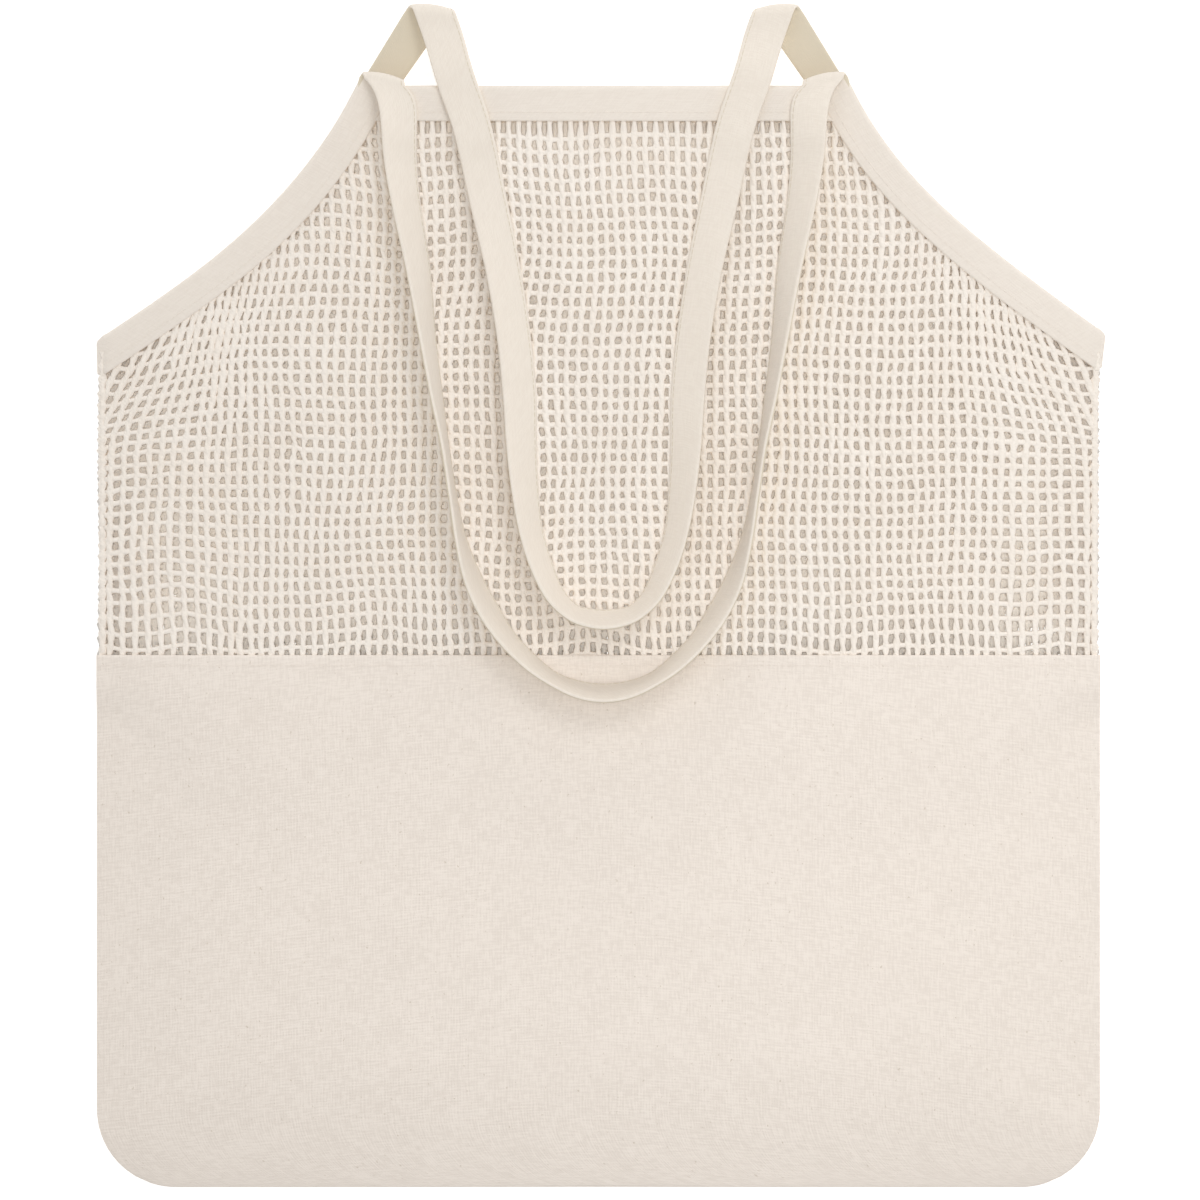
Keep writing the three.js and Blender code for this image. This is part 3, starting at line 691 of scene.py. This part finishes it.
# Painted shade: near each side the back yarn turns darker and tanner, for the dark gap seen through the
# holes.
strand_place = add_node(back_tree, "ShaderNodeTexCoord", {}, {})
strand_spot = add_node(back_tree, "ShaderNodeSeparateXYZ", {}, {0: strand_place.outputs["Object"]})
from_middle = math_node(back_tree, "ABSOLUTE", strand_spot.outputs[0])
beside = add_node(
    back_tree,
    "ShaderNodeMapRange",
    {"interpolation_type": "SMOOTHSTEP"},
    {"Value": from_middle, "From Min": 0.162, "From Max": 0.190},
)
painted_side_shade = add_node(
    back_tree,
    "ShaderNodeMix",
    {"data_type": "RGBA"},
    {0: beside.outputs[0], 6: strand_colour, 7: (*SIDE_PAINTED_SHADE, 1)},
)
back_tree.links.new(painted_side_shade.outputs[2], back_shader.inputs["Base Color"])
for piece, node, yarn in (
    (net_front_left, "net_front", front_yarn),
    (net_front_right, "net_front", front_yarn),
    (net_front_cross, "net_front", front_yarn),
    (net_back_chains, "net_back", back_yarn_painted_light_and_shade),
    (net_back_cross, "net_back", back_yarn_painted_light_and_shade),
):
    piece.data.materials.append(yarn)
    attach(piece, "root")
    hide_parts(node)

# Armhole bindings: cotton tape folded over the scooped edge of the net, one tape for each side. It runs
# down the front edge, round the crease at the side of the bag and up the back edge, sewn near its rim.
BINDING_WIDTH = 12.5
TAPE_THICK = 0.95
TAPE_EDGE = 0.8
TAPE_STEP = 1.3
TAPE_SEAM_COLUMN = 6
TAPE_SECTION_ROW = 20
BACK_TAPE_Z = 1.8
LEAF_RISE = 1.3
LEAF_PRESSED = 0.24
LEAF_OPENING = 20.0
CREASE_Z = 4.1
CREASE_RADIUS = 2.3
CREASE_TAPER = 0.25
CORNER_DROP = 2.2
ARMHOLE_DROP = 1.2
RUN_ON = 5.6
RUN_ON_TURN = np.radians(30)


def folded_section(width):
    """Section of a tape folded over an edge: the distance from the fold and the height of each spot, along
    the upper leaf, round the half circle of the fold and back along the lower leaf."""
    both_leaves = graded(2 * (width - LEAF_RISE), TAPE_STEP, TAPE_EDGE)
    leaf = both_leaves[: both_leaves.size // 2]
    turn = np.linspace(0, np.pi, 9)
    distance = np.concatenate([width - leaf, LEAF_RISE * (1 - np.sin(turn)), (width - leaf)[::-1]])
    height = np.concatenate([0 * leaf + LEAF_RISE, LEAF_RISE * np.cos(turn), 0 * leaf - LEAF_RISE])
    return distance, height


def binding_middle(side, drop):
    """Grid of the tape's middle points: its section carried along the two edges of the armhole, on the
    front, in a half turn round the crease, where its outer corner is rounded off, and on the back with the
    section upside down."""
    distance, height = folded_section(BINDING_WIDTH)
    outer = armhole_edge(**ARMHOLE_EDGES["outer"], count=64, drop=drop)
    inner = armhole_edge(**ARMHOLE_EDGES["inner"], count=64, drop=drop)
    beyond = np.array([RUN_ON, RUN_ON - 0.1, RUN_ON - 0.4, 4, 2.6, 1.2])[:, None]
    run_on_way = np.array([-np.sin(RUN_ON_TURN), np.cos(RUN_ON_TURN)])
    outer = np.concatenate([outer[0] + beyond * run_on_way, outer])
    inner = np.concatenate([inner[0] + beyond * run_on_way, inner])
    share = distance / BINDING_WIDTH
    plan = outer[:, None] + (inner - outer)[:, None] * share[:, None]
    x, y = plan[..., 0], plan[..., 1]
    from_top = np.linalg.norm(outer - outer[0], axis=1)[:, None]
    opened = smooth(from_top, RUN_ON, RUN_ON + LEAF_OPENING)
    leaf = height * (LEAF_PRESSED + (1 - LEAF_PRESSED) * opened)
    front = np.stack([x, y, front_net_height(x, y) + leaf], -1)
    back = np.stack([x, y, BACK_TAPE_Z - leaf], -1)
    turn = np.linspace(0, np.pi, 11)[1:-1, None]
    reach = (CREASE_RADIUS + height) * (1 - CREASE_TAPER * share)
    round_x = x[-1] + reach * np.sin(turn)
    round_y = y[-1] - CORNER_DROP * (1 - share) ** 2 * np.sin(turn) ** 2
    crease = np.stack([round_x, round_y, CREASE_Z + reach * np.cos(turn)], -1)
    middle = np.concatenate([front, crease, back[::-1]])
    middle[..., 0] = middle[..., 0] * side + sway(middle[..., 1])
    return middle


tape_cotton = woven_cotton(
    "tape_cotton",
    light=(0.828, 0.759, 0.681),
    dark=(0.800, 0.729, 0.651),
    fleck_colour=(0.79, 0.71, 0.62),
    thread=0.45,
    relief=0.3,
)
for side, drop, name in ((-1, ARMHOLE_DROP, "binding_left"), (1, -ARMHOLE_DROP, "binding_right")):
    middle = binding_middle(side, drop)
    tape = rounded_sheet(name + "_tape", middle, TAPE_THICK, TAPE_EDGE)
    line = middle[:, TAPE_SEAM_COLUMN]
    off = sheet_normal(middle)[:, TAPE_SEAM_COLUMN]
    up = off * np.sign(off[TAPE_SECTION_ROW, 2])
    on_front = line[:, 2] > CREASE_Z
    rows = stitches(name + "_stitches", (line + up * TAPE_THICK / 2)[on_front], up[on_front])
    for piece in (tape, rows):
        piece.data.materials.append(tape_cotton)
        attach(piece, "root")
        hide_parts(name)

# Mouth hems: the same tape folded over the top edge of each net panel between the handles.
# It is sewn with one row of stitches near its lower rim.
HEM_HEIGHT = 13.0
HEM_TOP_HALF = 77.0
HEM_LOW_HALF = 86.5


def hem_middle(height_at, upward):
    """Grid of the hem's middle points: the folded section carried across the mouth, with slanting ends."""
    distance, height = folded_section(HEM_HEIGHT)
    u = graded(2.0, 0.02, 0.01)[:, None] - 1
    x = u * (HEM_TOP_HALF + (HEM_LOW_HALF - HEM_TOP_HALF) * distance / HEM_HEIGHT)
    y = np.broadcast_to(BAG_HEIGHT - distance, x.shape)
    z = height_at(x, y) + upward * height
    return np.stack([x + sway(y), y, z], -1)


def back_hem_height(x, y):
    """Middle of the back hem, which lies on the floor."""
    return np.full(x.shape, BACK_TAPE_Z)


for name, height_at, upward, under in (
    ("hem_front", front_net_height, 1, "hem_back_tape"),
    ("hem_back", back_hem_height, -1, "floor"),
):
    middle = hem_middle(height_at, upward)
    tape = rounded_sheet(name + "_tape", middle, TAPE_THICK, TAPE_EDGE)
    upper_leaf = TAPE_SEAM_COLUMN if upward > 0 else -1 - TAPE_SEAM_COLUMN
    line = middle[3:-3, upper_leaf] + np.array([0, 0, TAPE_THICK / 2])
    up = np.broadcast_to([0.0, 0.0, 1.0], line.shape)
    rows = stitches(name + "_stitches", line, up)
    for piece in (tape, rows):
        piece.data.materials.append(tape_cotton)
        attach(piece, "root")
        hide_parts(name)

# Handles: the binding tape runs on past the mouth corners, sewn shut into a flat strap of 14.6 mm.
# Each folds over at both corners and hangs down over the front in a U, twisted so that its outer edge
# stands up. The reverse of the tape, which shows only before the fold, is painted darker and tanner, as
# painted shade for the rise that lies low in the shadow of the fold.
STRAP_WIDTH = 14.6
STRAP_THICK = 1.5
STRAP_EDGE = 0.7
STRAP_STEP = 1.2
STRAP_SEAM_COLUMN = 5
STRAP_RISE = np.radians(34)
STRAP_OUT = 1.5
STRAP_LAP = 4.0
# Colour of the painted shade on the reverse of the strap tape.
STRAP_REVERSE_PAINTED_SHADE = (0.682, 0.608, 0.480)
HANDLE_CLEARANCE = 0.8
CLOTH_STEP = 1.3
MOUTH_SINK = 4.75
SKEW_RUN = 24.0
FOLD_BULGE = 1.1
FOLD_LINES = 15
LEG_LINES = 240
STRAPS = {
    "strap_front": {
        "rise_height": (12.4, 12.4),
        "fold_level": 15.25,
        "fold_at": 7.4,
        "leg_lean": np.radians(12),
        "leg": [
            (79.4, 413.6, 6),
            (77.6, 408.0, 15),
            (77.1, 400.0, 25),
            (76.6, 388.0, 34),
            (74.5, 372, 44),
            (69.9, 347, 54),
            (66.4, 321, 68),
            (63.0, 299, 75),
            (59.8, 280, 82),
            (56.9, 261, 82),
            (53.9, 245, 76),
            (49.2, 230, 64),
            (43.2, 218, 59),
            (36.2, 207.6, 64),
            (27.6, 198.8, 67),
            (18.9, 192.4, 71),
            (9.5, 188.5, 66),
            (0, 187.2, 64),
        ],
    },
    "strap_back": {
        "rise_height": (1.8, 5.5),
        "fold_level": 10.5,
        "fold_at": 38.0,
        "leg_lean": np.radians(21),
        "leg": [
            (60.3, 434, 0),
            (55.9, 419, 0),
            (49.5, 400, 6),
            (43.6, 373, 15),
            (38.0, 347, 26),
            (34.0, 322, 30),
            (31.8, 300, 31),
            (31.0, 280, 40),
            (29.7, 264, 47),
            (27.6, 249, 54),
            (23.8, 236, 56),
            (18.6, 224.5, 62),
            (11.8, 217.6, 66),
            (5.6, 215.5, 63),
            (0, 214.9, 62),
        ],
    },
}


def handle_rest(x, y):
    """Lowest level of a handle on the front: above the net, higher by one cloth over the hem and the
    canvas, and sinking past the mouth."""
    over_hem = smooth(y, 385, 399)
    over_canvas = 1 - smooth(y, 205.5, 219.5)
    step_up = CLOTH_STEP * np.maximum(over_hem, over_canvas)
    past_mouth = MOUTH_SINK * smooth(y, 419, 440)
    return front_net_height(x, y) + HANDLE_CLEARANCE + step_up - past_mouth


def fold_lines(rise_height, fold_level, fold_at, leg_lean):
    """Lines across the tape from the mouth corner to the end of its fold, on the right: straight up the
    rise, then along the slanted axis that the tape is bent round in a half circle. Also how far the middle
    of each line bulges, the slant of the axis, and the angle between it and square across the rise."""
    rise = np.array([-np.sin(STRAP_RISE), np.cos(STRAP_RISE), 0])
    inward = np.array([-rise[1], rise[0], 0])
    tilt = (STRAP_RISE - leg_lean) / 2
    skew = STRAP_RISE - tilt
    axis = np.array([np.cos(tilt), np.sin(tilt), 0])
    away = np.array([-axis[1], axis[0], 0])
    top_turn = ARMHOLE_TURNS[0]
    up = np.array([-np.sin(top_turn), np.cos(top_turn), 0])
    over = np.array([-np.cos(top_turn), -np.sin(top_turn), 0])
    corner = np.array([*MOUTH_CORNER, rise_height[0]])
    first = corner - STRAP_LAP * up + BINDING_WIDTH * np.stack([0 * over, over])
    second = first + STRAP_LAP * up
    middle = corner + np.array([STRAP_OUT, 0, 0]) + STRAP_WIDTH / 2 * inward + fold_at * rise
    middle[2] = rise_height[1]
    radius = (fold_level - rise_height[1]) / 2
    turn = np.linspace(0, np.pi, FOLD_LINES)[:, None]
    laid = radius * turn
    centre = middle + rise * laid / np.cos(skew) + away * (radius * np.sin(turn) - laid)
    centre = centre + np.array([0, 0, radius]) * (1 - np.cos(turn))
    half = axis * STRAP_WIDTH / 2 / np.cos(skew)
    bent = np.stack([centre + half, centre - half], 1)
    count = max(3, round(fold_at / 3))
    climb = second + (bent[0] - second) * np.linspace(0, 1, count)[:-1, None, None]
    bulge = np.concatenate([np.zeros(count), FOLD_BULGE * np.sin(turn[:, 0])])
    return np.concatenate([first[None], climb, bent]), bulge, tilt, skew


def leg_lines(exit_point, tilt, skew, leg):
    """Lines across the tape down the front and up again: a smooth curve through the rows of the leg and
    their mirror images, with the tape leaning round the curve so that its inner edge rests on the front.
    Near the folds the lines turn smoothly from the slant of the fold to square across the curve."""
    down = np.concatenate([exit_point[None], np.array(leg, float)])
    mirrored = down[-2::-1] * np.array([-1, 1, 1])
    curve = through(np.concatenate([down, mirrored]), 40)
    run = np.insert(np.cumsum(np.linalg.norm(np.diff(curve[:, :2], axis=0), axis=1)), 0, 0)
    spots = np.linspace(0, run[-1], LEG_LINES)[1:-1]
    x, y, lean = (np.interp(spots, run, curve[:, k]) for k in range(3))
    lean = np.radians(lean)
    way = np.stack([np.gradient(x), np.gradient(y)], -1)
    way = way / np.linalg.norm(way, axis=1, keepdims=True)
    from_end = np.minimum(spots, run[-1] - spots)
    square = np.unwrap(np.arctan2(way[:, 0], -way[:, 1]))
    square = np.interp(np.clip(spots, SKEW_RUN, run[-1] - SKEW_RUN), spots, square)
    fold_heading = np.where(spots < run[-1] / 2, tilt, -np.pi - tilt)
    clear = smooth(from_end, 0, SKEW_RUN)
    heading = fold_heading + (square - fold_heading) * clear
    outward = np.stack([np.cos(heading), np.sin(heading), 0 * x], -1)
    half = STRAP_WIDTH / 2 / np.cos(skew * (1 - clear))
    upright = np.array([0, 0, 1.0])
    across = outward * np.cos(lean)[:, None] + upright * np.sin(lean)[:, None]
    lift = half * np.sin(lean) + STRAP_THICK / 2 * np.cos(lean)
    centre = np.stack([x, y, handle_rest(x, y) + lift], -1)
    return np.stack([centre + across * half[:, None], centre - across * half[:, None]], 1)


def strap_middle(rise_height, fold_level, fold_at, leg_lean, leg):
    """Grid of a handle's middle points: the fold, the legs and the mirrored fold, with each line cut into
    columns. The middle of a fold bulges by a parabola."""
    fold, bulge, tilt, skew = fold_lines(rise_height, fold_level, fold_at, leg_lean)
    exit_point = fold[-1].mean(0) * np.array([1, 1, 0])
    mirrored = fold[::-1] * np.array([-1, 1, 1])
    legs = leg_lines(exit_point, tilt, skew, leg)
    lines = np.concatenate([fold, legs, mirrored])
    share = graded(STRAP_WIDTH, STRAP_STEP, STRAP_EDGE)[:, None] / STRAP_WIDTH
    middle = lines[:, 1][:, None] + (lines[:, 0] - lines[:, 1])[:, None] * share
    upward = np.concatenate([bulge, np.zeros(len(legs)), bulge[::-1]])
    middle[..., 1] += upward[:, None] * (1 - (2 * share[:, 0] - 1) ** 2)
    return middle + np.array([SWAY, 0, 0])


strap_cotton = woven_cotton(
    "strap_cotton",
    light=(0.824, 0.754, 0.667),
    dark=(0.797, 0.724, 0.637),
    fleck_colour=(0.79, 0.71, 0.62),
    thread=0.45,
    relief=0.3,
)
strap_tree = strap_cotton.node_tree
strap_shader = strap_tree.nodes["Principled BSDF"]
face_colour = strap_shader.inputs["Base Color"].links[0].from_socket
# Painted shade: the reverse face of the strap tape is darker and tanner, for the shadow on the rise.
which_face = add_node(strap_tree, "ShaderNodeAttribute", {"attribute_name": "cloth_side"}, {})
reverse_painted_shade = add_node(
    strap_tree,
    "ShaderNodeMix",
    {"data_type": "RGBA"},
    {0: which_face.outputs["Fac"], 6: face_colour, 7: (*STRAP_REVERSE_PAINTED_SHADE, 1)},
)
strap_tree.links.new(reverse_painted_shade.outputs[2], strap_shader.inputs["Base Color"])
for name, shape in STRAPS.items():
    middle = strap_middle(**shape)
    strap = rounded_sheet(name + "_tape", middle, STRAP_THICK, STRAP_EDGE)
    up = -sheet_normal(middle)[:, STRAP_SEAM_COLUMN]
    seam = (middle[:, STRAP_SEAM_COLUMN - 1] + middle[:, STRAP_SEAM_COLUMN]) / 2
    rows = stitches(name + "_stitches", seam + up * STRAP_THICK / 2, up)
    for piece in (strap, rows):
        piece.data.materials.append(strap_cotton)
        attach(piece, "root")
        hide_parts(name)
